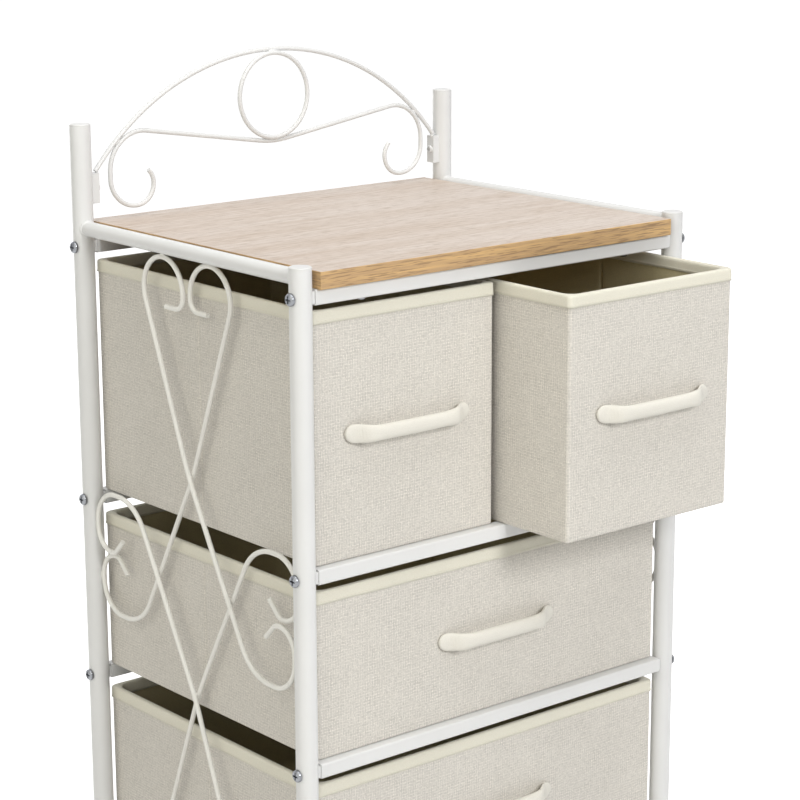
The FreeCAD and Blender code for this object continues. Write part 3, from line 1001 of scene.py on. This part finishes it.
@dataclass
class ClothBox:
    """The sewn cloth box of a drawer, as its cover or its lining."""

    low: Vector
    high: Vector
    corner_r: float
    floor_r: float
    thickness: float
    facing: Facing
    seed: float
    row_step: float = 5.0 * MM
    edge_steps: int = 5
    floor_shares: tuple[float, ...] = (0.12, 0.45, 0.8, 0.96, 1.0)
    corner_hold: float = 28.0 * MM
    floor_hold: float = 22.0 * MM
    rim_hold: float = 16.0 * MM
    slack: float = 0.45 * MM
    wave_share: float = 0.45
    wave_scale: Span = (13.0, 10.0)
    pucker: float = 0.16 * MM
    pucker_scale: Span = (75.0, 22.0)
    pucker_seed: float = 9.0
    pucker_from: float = 12.0 * MM
    pucker_fade: float = 16.0 * MM
    pucker_hold: float = 8.0 * MM
    fold_depth: float = 1.1 * MM
    fold_width: float = 1.25 * MM

    def bulge(self, station: Station, z: float) -> float:
        """Work out how far the cloth stands off its board.

        Args:
            station: the place on the outline.
            z: its height.

        Returns:
            The distance outwards.
        """
        held = ease(station.to_corner / self.corner_hold) * ease((z - self.low.z) / self.floor_hold)
        held *= ease((self.high.z - z) / self.rim_hold)
        across, up = self.wave_scale
        wave = cloth_noise(station.along * across, z * up, self.seed)
        soft = self.slack * (1 - self.wave_share + self.wave_share * wave) * held
        across, up = self.pucker_scale
        puckered = cloth_noise(station.along * across, z * up, self.seed + self.pucker_seed)
        near_hem = math.exp(-max(0.0, self.high.z - self.pucker_from - z) / self.pucker_fade)
        soft += self.pucker * puckered * near_hem * ease(station.to_corner / self.pucker_hold)
        return soft - self.fold_depth * math.exp(-((station.to_fold / self.fold_width) ** 2)) * held

    def profile(self) -> list[Span]:
        """Rows of the wall, from the floor's rounded edge up to the rim.

        Returns:
            The rows as (inset, height).
        """
        r = self.floor_r
        rise = self.high.z - self.low.z - r
        edge = quarter(self.edge_steps)[1:]
        rows = [(r * (1 - math.sin(angle)), self.low.z + r * (1 - math.cos(angle))) for angle in edge]
        return rows + [(0.0, self.low.z + r + at) for at in spread(rise, self.row_step)[1:]]

    def build(self, tag: Tag) -> Object:
        """Make the piece, with its thickness as a modifier.

        Args:
            tag: what the piece carries.

        Returns:
            The new object.
        """
        outline = Outline(self.low, self.high, self.corner_r)
        stations = outline.stations()
        centre = ((self.low + self.high) / 2).xy.to_3d()
        lift = Vector((0, 0, self.low.z))
        skin = Skin()
        floor = []
        floor_maps = []
        for share in self.floor_shares:
            shrunk = [station.at(-self.floor_r, 0.0) for station in stations]
            places = [centre + (spot - centre) * share + lift for spot in shrunk]
            floor.append(skin.ring(places))
            floor_maps.append([spot.xy for spot in places + places[:1]])
        skin.close(floor[0][::-1])
        wall = []
        wall_maps = []
        for inset, z in self.profile():
            wall.append(skin.ring(
                station.at(self.bulge(station, z) * self.facing.value - inset, z) for station in stations))
            wall_maps.append(outline.laid(stations, z))
        skin.loft(floor, floor_maps)
        skin.join(floor[-1], wall[0], floor_maps[-1], floor_maps[-1])
        skin.loft(wall, wall_maps)
        if self.facing is Facing.INSIDE:
            bmesh.ops.reverse_faces(skin.mesh, faces=skin.mesh.faces[:])
        piece = finish_piece(skin.mesh, tag)
        shell = piece.modifiers.new("cloth thickness", "SOLIDIFY")
        shell.thickness = self.thickness
        shell.offset = -1.0
        return piece


@dataclass
class HemBinding:
    """The tape folded over a drawer's rim, sewn down outside and inside."""

    low: Vector
    high: Vector
    corner_r: float
    wrap: float
    tape: float
    depth: float
    seed: float
    inner_r: float = 11.0 * MM
    flare: float = 0.3 * MM
    low_flare: float = 0.05 * MM
    face_shares: Triple = (0.82, 0.5, 0.25)
    shoulder: Span = (0.25 * MM, 0.9 * MM)
    crest: Span = (1.1 * MM, 0.15 * MM)
    fold_drop: float = 1.4 * MM
    crown_drop: float = 1.0 * MM
    loose_from: float = 3.0 * MM
    loose_over: float = 6.0 * MM
    wave: float = 0.10 * MM
    wave_scale: Span = (34.0, 60.0)
    ripple: float = 0.06 * MM
    ripple_scale: Span = (130.0, 90.0)
    ripple_seed: float = 4.0
    hang: float = 0.3 * MM
    hang_scale: float = 24.0
    hang_seed: float = 7.0
    stitch_rise: float = 2.4 * MM
    stitch_length: float = 2.7 * MM
    stitch_pitch: float = 3.9 * MM
    stitch_step: float = 1.0 * MM
    stitch_clear: float = 1.5 * MM
    stitch_dip: float = 1.5
    stitch_lift: float = 0.75
    stitch_taper: float = 0.45
    stitch_rings: int = 6
    thread_r: float = 0.27 * MM

    def profile(self) -> list[Span]:
        """Section of the tape, from its outer lower edge round.

        Returns:
            Its points as (inwards from the outside, down from the top).
        """
        w, t, d = self.wrap, self.tape, self.depth
        low, middle, high = (d * share for share in self.face_shares)
        outer = [(-self.flare, d), (-self.low_flare, low), (0.0, middle), (0.0, high)]
        outer += [self.shoulder, self.crest]
        back = [(w - inward, down) for inward, down in reversed(outer)]
        under = [(w - t, d), (w - t, self.fold_drop), (w / 2, self.crown_drop), (t, self.fold_drop), (t, d)]
        return outer + [(w / 2, 0.0)] + back + under

    def stray(self, station: Station, inward: float, down: float) -> Span:
        """Work out how far the tape's loose lower edge strays.

        Args:
            station: the place on the outline.
            inward: distance in from the outside.
            down: distance down from the top.

        Returns:
            The distances inwards and down.
        """
        loose = ease((down - self.loose_from) / self.loose_over)
        across, up = self.wave_scale
        wave = noise.noise(Vector((station.along * across, down * up, self.seed)))
        across, up = self.ripple_scale
        ripple = noise.noise(Vector((station.along * across, self.seed + self.ripple_seed, down * up)))
        side = 1 if inward > self.wrap / 2 else -1
        hung = noise.noise(Vector((station.along * self.hang_scale, self.seed + self.hang_seed, 0)))
        return (self.wave * wave + self.ripple * ripple) * side * loose, self.hang * hung * loose

    def build(self, tag: Tag) -> Object:
        """Make the tape, which fills the corners inside.

        Args:
            tag: what the piece carries.

        Returns:
            The new object.
        """
        outline = Outline(self.low, self.high, self.corner_r)
        stations = outline.stations()
        steps = outline.steps()
        profile = self.profile()
        skin = Skin()
        rings = []
        maps = []
        laid = 0.0
        before = profile[0]
        for inward, down in profile:
            laid += math.hypot(inward - before[0], down - before[1])
            before = (inward, down)
            filled = ease(inward / self.wrap)
            line = outline.inset(inward, self.corner_r + (self.inner_r - self.corner_r) * filled)
            places = []
            for station, step in zip(stations, steps):
                shift, drop = self.stray(station, inward, down)
                place, outward = line.spot(*step)
                spot = place - outward * shift
                places.append(Vector((spot.x, spot.y, self.high.z - down - drop)))
            rings.append(skin.ring(places))
            maps.append(outline.laid(stations, laid))
        rings.append(rings[0])
        maps.append(outline.laid(stations, laid + self.tape))
        skin.loft(rings[::-1], maps[::-1])
        skin.face_out()
        return finish_piece(skin.mesh, tag)

    def sew(self, tag: Tag) -> Object:
        """Make the two rows of stitches as one piece.

        Args:
            tag: what the piece carries.

        Returns:
            The new object.
        """
        skin = Skin()
        z = self.high.z - self.depth + self.stitch_rise
        outline = Outline(self.low, self.high, self.corner_r, self.stitch_step)
        for line, sign in ((outline, 1), (outline.inset(self.wrap, self.inner_r), -1)):
            stations = line.stations()
            next_at = 0.0
            for here, there in zip(stations, stations[1:]):
                if here.along < next_at or here.to_corner < self.stitch_clear:
                    continue
                next_at = here.along + self.stitch_pitch
                way = (there.place - here.place).normalized()
                self.stitch(skin, here.at(0.0, z), way, here.outward * sign)
        return finish_piece(skin.mesh, tag)

    def stitch(self, skin: Skin, middle: Vector, way: Vector, outward: Vector) -> None:
        """Add one stitch: a short thread that dips into the tape at both ends.

        Args:
            skin: the mesh that it goes into.
            middle: the stitch's middle.
            way: the way along the tape.
            outward: the way off the tape.
        """
        turns = whole_turn(self.stitch_rings)
        circle = [outward * math.cos(angle) + UP * math.sin(angle) for angle in turns]
        rings = []
        maps = []
        for number in range(self.stitch_rings):
            share = number / (self.stitch_rings - 1) * 2 - 1
            lift = self.thread_r * (self.stitch_lift - self.stitch_dip * share ** 4)
            radius = self.thread_r * (1 - self.stitch_taper * share ** 4)
            along = share * self.stitch_length / 2
            centre = middle + way * along + outward * lift
            rings.append(skin.ring(centre + spoke * radius for spoke in circle))
            maps.append([Vector((along, radius * angle)) for angle in turns + [math.tau]])
        skin.loft(rings, maps, capped=True)


@dataclass
class StrapHandle:
    """A padded strap: wide and flat at the front's slits, folded narrower where a hand takes it."""

    low: Vector
    high: Vector
    front_y: float
    seed: float
    thickness: float = 9.0 * MM
    end_thickness: float = 4.8 * MM
    ramp: float = 27.0 * MM
    ramp_shares: Span = (0.62, 0.5)
    ramp_steps: int = 40
    level_steps: int = 60
    tip: float = 9.0 * MM
    blunt: float = 0.12
    fold_from: float = 15.0 * MM
    fold_over: float = 22.0 * MM
    narrowing: float = 0.17
    fullness: Triple = (0.5, 0.48, 0.97)
    droop: float = 1.3 * MM
    puff: float = 0.03
    puff_scale: float = 7.0
    squareness: float = 0.85
    crease: float = 0.25 * MM
    crease_reach: float = 9.0 * MM
    crease_often: float = 300.0
    crease_bend: float = 2.2
    crowding: float = 0.24
    map_length: float = 150.0 * MM
    map_share: float = 0.8
    rings: int = 140
    turns: int = 32

    def places(self) -> list[Vector]:
        """Set close points on the strap's middle line.

        Returns:
            The points from the left end to the right one, about the strap's middle.
        """
        half = (self.high.x - self.low.x) / 2
        stand_off = self.front_y - self.low.y - self.thickness / 2
        lying = self.end_thickness / 2
        foot, shoulder = (share * self.ramp for share in self.ramp_shares)
        corners = [
            Vector((-half, -lying)), Vector((-half + foot, -lying)),
            Vector((-half + shoulder, -stand_off)), Vector((-half + self.ramp, -stand_off)),
        ]
        climb = [spot.to_3d() for spot in interpolate_bezier(*corners, self.ramp_steps)]
        level = half - self.ramp
        shares = [number / self.level_steps * 2 - 1 for number in range(1, self.level_steps)]
        run = [Vector((level * share, -stand_off, 0)) for share in shares]
        fall = [Vector((-spot.x, spot.y, 0)) for spot in reversed(climb)]
        return climb + run + fall

    def route(self) -> list[tuple[Vector, Vector, float]]:
        """Steps along the strap's middle line, closer together at its ends.

        Returns:
            For each ring the place, the way along, and the distance from the nearer end.
        """
        points = self.places()
        walked = [0.0]
        for before, after in zip(points, points[1:]):
            walked.append(walked[-1] + (after - before).length)
        middle = (self.low + self.high) / 2
        origin = Vector((middle.x, self.front_y, middle.z))
        found = []
        here = 0
        for number in range(self.rings + 1):
            share = number / self.rings
            at = walked[-1] * (share - self.crowding * math.sin(math.tau * share) / math.tau)
            while here < len(points) - 2 and walked[here + 1] < at:
                here += 1
            step = points[here + 1] - points[here]
            place = points[here] + step * ((at - walked[here]) / step.length)
            found.append((origin + place, step.normalized(), min(at, walked[-1] - at)))
        return found

    def half_sizes(self, share: float, reach: float) -> Span:
        """Work out the strap's size at a place.

        Args:
            share: share of the strap's length.
            reach: distance from the nearer end.

        Returns:
            Half the thickness and half the height.
        """
        puff = noise.noise(Vector((share * self.puff_scale, self.seed, 0))) * self.puff
        rounded = max(self.blunt, math.sqrt(1 - (1 - min(1.0, reach / self.tip)) ** 2))
        folded = ease((reach - self.fold_from) / self.fold_over)
        thick = self.end_thickness + (self.thickness - self.end_thickness) * folded
        least, swell, tall = self.fullness
        half_thick = thick / 2 * (least + swell * rounded + puff)
        half_high = (self.high.z - self.low.z) / 2 * rounded * (tall - self.narrowing * folded + puff)
        return half_thick, half_high

    def squared(self, turn: float) -> float:
        """A sine or cosine made fuller, for a section between round and square."""
        return math.copysign(abs(turn) ** self.squareness, turn)

    def build(self, tag: Tag) -> Object:
        """Make the strap, rounded at its flat ends and fuller where it is folded.

        Args:
            tag: what the piece carries.

        Returns:
            The new object.
        """
        skin = Skin()
        rings = []
        maps = []
        turns = whole_turn(self.turns)
        for number, (place, way, reach) in enumerate(self.route()):
            share = number / self.rings
            outward = Vector((way.y, -way.x, 0))
            half_thick, half_high = self.half_sizes(share, reach)
            near = math.exp(-(((reach - self.fold_from) / self.crease_reach) ** 2))
            sag = self.droop * (1 - (2 * share - 1) ** 2)
            places = []
            for angle in turns:
                c, s = math.cos(angle), math.sin(angle)
                fold = math.sin(share * self.crease_often + self.crease_bend * s)
                side = self.squared(c) * half_thick + self.crease * near * fold * max(0.0, c)
                places.append(place + outward * side + UP * (self.squared(s) * half_high - sag))
            rings.append(skin.ring(places))
            girth = half_high * self.map_share
            maps.append([Vector((share * self.map_length, angle * girth)) for angle in turns + [math.tau]])
        skin.loft(rings, maps, capped=True)
        skin.face_out()
        piece = finish_piece(skin.mesh, tag)
        return piece


@dataclass
class WrappedBase:
    """The loose board on a drawer's floor, wrapped in lining cloth."""

    low: Vector
    high: Vector
    seed: float
    corner_r: float = 3.0 * MM
    edge_r: float = 1.3 * MM
    edge_steps: int = 4
    top_shares: tuple[float, ...] = (0.97, 0.9, 0.75, 0.55, 0.35, 0.15)
    sag: float = 0.14 * MM
    sag_scale: float = 18.0

    def build(self, tag: Tag) -> Object:
        """Make the piece.

        Args:
            tag: what the piece carries.

        Returns:
            The new object.
        """
        stations = Outline(self.low, self.high, self.corner_r).stations()
        centre = ((self.low + self.high) / 2).xy.to_3d()
        r = self.edge_r
        edge = quarter(self.edge_steps)
        rows = [(r * (1 - math.sin(angle)), self.low.z + r * (1 - math.cos(angle))) for angle in edge]
        rows += [(r * (1 - math.cos(angle)), self.high.z - r * (1 - math.sin(angle))) for angle in edge]
        skin = Skin()
        rings = [skin.ring(station.at(-inset, z) for station in stations) for inset, z in rows]
        for share in self.top_shares:
            places = []
            for station in stations:
                spot = centre + (station.at(-r, 0.0) - centre) * share
                dip = noise.noise(Vector((spot.x * self.sag_scale, spot.y * self.sag_scale, self.seed))) - 1
                places.append(Vector((spot.x, spot.y, self.high.z + self.sag * dip)))
            rings.append(skin.ring(places))
        maps = [[vert.co.xy for vert in ring + ring[:1]] for ring in rings]
        skin.loft(rings, maps, capped=True)
        return finish_piece(skin.mesh, tag)


@dataclass
class Drawer:
    """One fabric drawer: cover, lining, hem binding with its stitches, wrapped base and strap handle."""

    name: str
    seed: float
    cover_corner_r: float = 3.6 * MM
    cover_floor_r: float = 1.8 * MM
    cover_t: float = 0.9 * MM
    lining_corner_r: float = 2.1 * MM
    lining_floor_r: float = 1.2 * MM
    lining_inset: float = 0.8 * MM
    lining_t: float = 0.72 * MM
    lining_seed: float = 31.0
    wall: float = 4.0 * MM
    lap: float = 0.9 * MM
    tape_t: float = 0.8 * MM

    def box(self, piece: str) -> tuple[Vector, Vector]:
        """Corners of one of the drawer's nodes."""
        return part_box(f"{self.name}_{piece}")

    def tag(self, piece: str, material: Material, slot: str) -> Tag:
        """What one of the drawer's pieces carries."""
        return Tag(f"{self.name}_{piece}", material, self.name, slot)

    def build(self, finishes: Finishes) -> None:
        """Make every piece that shows of the drawer.

        Args:
            finishes: the dresser's finishes.
        """
        self.build_cloth(finishes)
        self.build_hem(finishes)
        low, high = self.box("base_board")
        base = WrappedBase(low, high, self.seed).build(
            self.tag("wrapped_base", finishes.lining, "base_board"))
        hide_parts(f"{self.name}_base_board")
        low, high = self.box("handle")
        handle = StrapHandle(low, high, self.box("cover")[0].y, self.seed).build(
            self.tag("padded_strap", finishes.strap, "handle_strap"))
        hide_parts(f"{self.name}_handle")

    def build_cloth(self, finishes: Finishes) -> None:
        """Make the cover and the lining.

        Args:
            finishes: the dresser's finishes.
        """
        low, high = self.box("cover")
        cover = ClothBox(
            low, high, self.cover_corner_r, self.cover_floor_r, self.cover_t, Facing.OUTSIDE, self.seed)
        piece = cover.build(self.tag("linen_cover", finishes.linen, "linen_cover"))
        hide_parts(f"{self.name}_cover")
        low, high = self.box("lining")
        side = Vector((self.lining_inset, self.lining_inset, 0))
        floor = Vector((0, 0, self.lining_inset))
        lining = ClothBox(
            low + side + floor, high - side, self.lining_corner_r, self.lining_floor_r, self.lining_t,
            Facing.INSIDE, self.seed + self.lining_seed)
        piece = lining.build(self.tag("inner_lining", finishes.lining, "drawer_lining"))
        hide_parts(f"{self.name}_lining")

    def build_hem(self, finishes: Finishes) -> None:
        """Make the binding and its stitches.

        Args:
            finishes: the dresser's finishes.
        """
        low, high = self.box("binding")
        hem = HemBinding(
            low, high, self.cover_corner_r + self.lap, self.wall + 2 * self.lap, self.tape_t,
            high.z - low.z, self.seed)
        piece = hem.build(self.tag("hem_tape", finishes.hem, "hem_binding"))
        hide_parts(f"{self.name}_binding")
        hem.sew(self.tag("hem_stitches", finishes.thread, "hem_binding"))


@dataclass
class SteelFrame:
    """Posts, rails, wires, screws and board, with the welds that join wires and side rails to the posts."""

    reach: float = 0.32 * MM
    spread: float = 12.0 * MM
    bead_r: float = 1.7 * MM
    longest_bead: float = 5.0 * MM
    bead_fineness: int = 3
    shortest_run: float = 0.2 * MM
    bead_lumps: float = 0.1
    bead_lump_scale: float = 2.5
    bead_lump_shift: float = 900.0
    collar_r: float = 1.1 * MM
    collar_lumps: float = 0.12
    collar_lump_scale: float = 800.0
    collar_rings: int = 48
    collar_turns: int = 10

    def dress(self, finishes: Finishes) -> None:
        """Give each node of the frame its finish.

        Args:
            finishes: the dresser's finishes.
        """
        own = {
            "top_board": finishes.oak,
            "post_caps": finishes.white_plastic,
            "post_feet": finishes.white_plastic,
            "rail_screws": finishes.zinc,
            "board_screws": finishes.zinc,
        }
        for name, node in frame["nodes"].items():
            if name.endswith("_wall_boards"):
                material = finishes.board
            elif name.startswith(("left_scroll_", "right_scroll_")):
                material = finishes.wire_white
            else:
                material = own.get(name, finishes.white_steel)
            node.data.materials.clear()
            node.data.materials.append(material)

    def tree(self, name: str) -> BVHTree:
        """A search tree of one node's faces."""
        mesh = frame["nodes"][name].data
        return BVHTree.FromPolygons([v.co for v in mesh.vertices], [p.vertices for p in mesh.polygons])

    def touches(self, first: str, second: BVHTree) -> list[list[Vector]]:
        """Find where a node lies against another.

        Args:
            first: the one node's name.
            second: search tree of the other node.

        Returns:
            Groups of near points.
        """
        groups: list[list[Vector]] = []
        for vert in frame["nodes"][first].data.vertices:
            spot = second.find_nearest(vert.co, self.reach)[0]
            if spot is None:
                continue
            middle = (spot + vert.co) / 2
            home = next((g for g in groups if min((p - middle).length for p in g) < self.spread), None)
            if home is None:
                groups.append([middle])
            else:
                home.append(middle)
        return groups

    def bead(self, mesh: BMesh, points: Sequence[Vector]) -> None:
        """Add one smooth weld bead over a group of touching points.

        Args:
            mesh: the mesh that it goes into.
            points: the group.
        """
        middle = sum(points, Vector()) / len(points)
        far = max(points, key=lambda p: (p - middle).length) - middle
        way = far.normalized() if far.length > self.shortest_run else UP
        half = min(self.longest_bead, max(self.bead_r, far.length))
        shape = Matrix.LocRotScale(middle, way.to_track_quat("X", "Z"), (half, self.bead_r, self.bead_r))
        made = bmesh.ops.create_icosphere(mesh, subdivisions=self.bead_fineness, radius=1.0)
        for vert in made["verts"]:
            chance = noise.noise(vert.co * self.bead_lump_scale + middle * self.bead_lump_shift)
            vert.co = shape @ (vert.co * (1 + self.bead_lumps * chance))

    def weld_wires(self, finishes: Finishes) -> None:
        """Set beads where wires touch each other, the posts, the rails and the tabs.

        Args:
            finishes: the dresser's finishes.
        """
        names = [n for n in frame["nodes"] if "_scroll_" in n or n in ("arch_wire", "arch_ring")]
        held = [n for n in frame["nodes"] if n.endswith(("_post", "_side_rail")) or n == "arch_tabs"]
        trees = {name: self.tree(name) for name in names + held}
        coats = {"left": finishes.wire_white, "right": finishes.wire_white, "arch": finishes.white_steel}
        for family, coat in coats.items():
            mesh = bmesh.new()
            wires = [name for name in names if name.startswith(family)]
            for number, name in enumerate(wires):
                for other in wires[number + 1:] + held:
                    for group in self.touches(name, trees[other]):
                        self.bead(mesh, group)
            finish_piece(mesh, Tag(f"{family}_wire_welds", coat, "frame", "white_powder_coat"))

    def weld_line(self, rail: str, post: str) -> tuple[list[Vector], Vector]:
        """The line where a side rail's hollowed end meets a post.

        Args:
            rail: the rail's node.
            post: the post's node.

        Returns:
            The line's points in order, and the way along the rail from the post.
        """
        rail_low, rail_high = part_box(rail)
        post_low, post_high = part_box(post)
        rail_r = (rail_high.z - rail_low.z) / 2
        post_r = (post_high.x - post_low.x) / 2
        middle = (post_low + post_high) / 2
        axis_z = (rail_low.z + rail_high.z) / 2
        inward = 1 if middle.y < 0 else -1
        spots = []
        for angle in whole_turn(self.collar_rings):
            x = rail_r * math.cos(angle)
            y = middle.y + inward * math.sqrt(post_r ** 2 - x ** 2)
            spots.append(Vector((middle.x + x, y, axis_z + rail_r * math.sin(angle))))
        return spots, Vector((0, inward, 0))

    def weld_collar(self, rail: str, post: str, finishes: Finishes) -> None:
        """Run a weld round the end of a side rail, where it is hollowed to the post.

        Args:
            rail: the rail's node.
            post: the post's node.
            finishes: the dresser's finishes.
        """
        spots, inward = self.weld_line(rail, post)
        turns = whole_turn(self.collar_turns)
        skin = Skin()
        rings = []
        for number, spot in enumerate(spots):
            way = (spots[(number + 1) % len(spots)] - spots[number - 1]).normalized()
            side = way.cross(inward).normalized()
            out = side.cross(way)
            radius = self.collar_r * (1 + self.collar_lumps * noise.noise(spot * self.collar_lump_scale))
            circle = [side * math.cos(angle) + out * math.sin(angle) for angle in turns]
            rings.append(skin.ring(spot + spoke * radius for spoke in circle))
        rings.append(rings[0])
        unmapped = [Vector((0, 0))] * (self.collar_turns + 1)
        skin.loft(rings, [unmapped] * len(rings))
        skin.face_out()
        finish_piece(
            skin.mesh, Tag(f"{rail}_weld_at_{post}", finishes.white_steel, "frame", "white_powder_coat"))

    def build(self, finishes: Finishes) -> None:
        """Dress the nodes and add the welds.

        Args:
            finishes: the dresser's finishes.
        """
        self.dress(finishes)
        self.weld_wires(finishes)
        for side in ("left", "right"):
            for height in ("top", "bottom"):
                for end in ("front", "back"):
                    self.weld_collar(f"{side}_{height}_side_rail", f"{end}_{side}_post", finishes)


@dataclass(frozen=True)
class Lamp:
    """One square soft lamp."""

    name: str
    place: Triple
    size: float
    power: float
    colour: Triple = (1.0, 1.0, 1.0)

    def hang(self, aim: Triple) -> None:
        """Hang the lamp so that it faces a point.

        Args:
            aim: the point.
        """
        data = bpy.data.lights.new(self.name, "AREA")
        data.shape = "SQUARE"
        data.size = self.size
        data.energy = self.power
        data.color = self.colour
        way = Vector(aim) - Vector(self.place)
        turn = way.to_track_quat("-Z", "Y").to_matrix().to_4x4()
        stand(self.name, data).matrix_world = Matrix.Translation(self.place) @ turn


@dataclass
class Studio:
    """Pale floor, soft lamps and the photograph's camera."""

    camera_place: Triple = (-1.343967, -1.650641, 1.047964)
    yaw: float = math.radians(39.63757)
    pitch: float = math.radians(13.63537)
    roll: float = math.radians(-0.23930)
    sensor: float = 36.0
    focal_share: float = 2380.29 / 800
    farthest: float = 100.0
    floor_half: float = 14.0
    floor_cells: int = 8
    floor_tone: float = 0.68
    floor_roughness: float = 0.9
    floor_gloss: float = 0.1
    floor_glow: float = 0.8
    sky_light: float = 0.32
    aim: Triple = (0.0, 0.0, 0.45)
    lamps: tuple[Lamp, ...] = (
        Lamp("front_lamp", (-0.1, -3.4, 2.2), 1.0, 72.5, (1.0, 0.995, 0.985)),
        Lamp("left_lamp", (-3.2, -0.9, 2.0), 3.6, 50.0, (1.0, 0.965, 0.82)),
        Lamp("top_lamp", (-0.1, -0.5, 3.2), 2.2, 42.0),
        Lamp("back_lamp", (0.3, 3.4, 1.3), 2.2, 38.0),
    )

    def build_camera(self) -> None:
        """Place the camera at the photograph's viewing angle."""
        data = bpy.data.cameras.new("camera")
        data.sensor_width = self.sensor
        data.lens = self.sensor * self.focal_share
        data.clip_end = self.farthest
        level = math.cos(self.pitch)
        forward = Vector((math.sin(self.yaw) * level, math.cos(self.yaw) * level, -math.sin(self.pitch)))
        right = Vector((math.cos(self.yaw), -math.sin(self.yaw), 0))
        up = right.cross(forward)
        c, s = math.cos(self.roll), math.sin(self.roll)
        right, up = right * c + up * s, up * c - right * s
        turn = Matrix((right, up, -forward)).transposed().to_4x4()
        camera = stand("camera", data)
        camera.matrix_world = Matrix.Translation(self.camera_place) @ turn
        bpy.context.scene.camera = camera

    def build_floor(self) -> None:
        """Lay a pale floor that shows white to the camera but keeps the dresser's shadow."""
        mesh = bmesh.new()
        bmesh.ops.create_grid(
            mesh, x_segments=self.floor_cells, y_segments=self.floor_cells, size=self.floor_half)
        data = bpy.data.meshes.new("floor")
        mesh.to_mesh(data)
        mesh.free()
        stand("floor", data)
        material = bpy.data.materials.new("pale_floor")
        material.use_nodes = True
        nodes = Nodes(material.node_tree)
        nodes.feed_named(
            nodes.find("BSDF_PRINCIPLED"),
            Base_Color=toned((1.0, 1.0, 1.0), self.floor_tone),
            Roughness=self.floor_roughness,
            Specular_IOR_Level=self.floor_gloss,
            Emission_Color=(1.0, 1.0, 1.0, 1.0),
            Emission_Strength=nodes.calc("MULTIPLY", self.seen(nodes), self.floor_glow))
        data.materials.append(material)

    def seen(self, nodes: Nodes) -> NodeSocket:
        """Make a mask of rays from the camera, off a glossy surface or through glass.

        Args:
            nodes: the tree that it goes into.

        Returns:
            The result's socket.
        """
        path = nodes.add("ShaderNodeLightPath").outputs
        shown = nodes.calc("MAXIMUM", path["Is Camera Ray"], path["Is Glossy Ray"])
        return nodes.calc("MAXIMUM", shown, path["Is Transmission Ray"])

    def build_world(self) -> None:
        """Surround the dresser with even light, shown white."""
        world = bpy.data.worlds.new("studio")
        world.use_nodes = True
        bpy.context.scene.world = world
        nodes = Nodes(world.node_tree)
        nodes.feed_named(
            nodes.find("BACKGROUND"),
            Color=(1.0, 1.0, 1.0, 1.0),
            Strength=nodes.mix(Mix.NUMBER, self.seen(nodes), self.sky_light, 1.0))

    def build(self) -> None:
        """Set up floor, world, lamps and camera."""
        bpy.context.scene.view_settings.view_transform = "Standard"
        self.build_floor()
        self.build_world()
        for lamp in self.lamps:
            lamp.hang(self.aim)
        self.build_camera()


def main() -> None:
    """Build the dresser's looks and the studio in order."""
    logging.basicConfig(level=logging.INFO)
    finishes = Finishes()
    SteelFrame().build(finishes)
    for number, body in enumerate(name for name in frame["bodies"] if name.endswith("_drawer")):
        Drawer(body, seed=SEED_STEP * number).build(finishes)
    Studio().build()


if __name__ == "__main__":
    main()
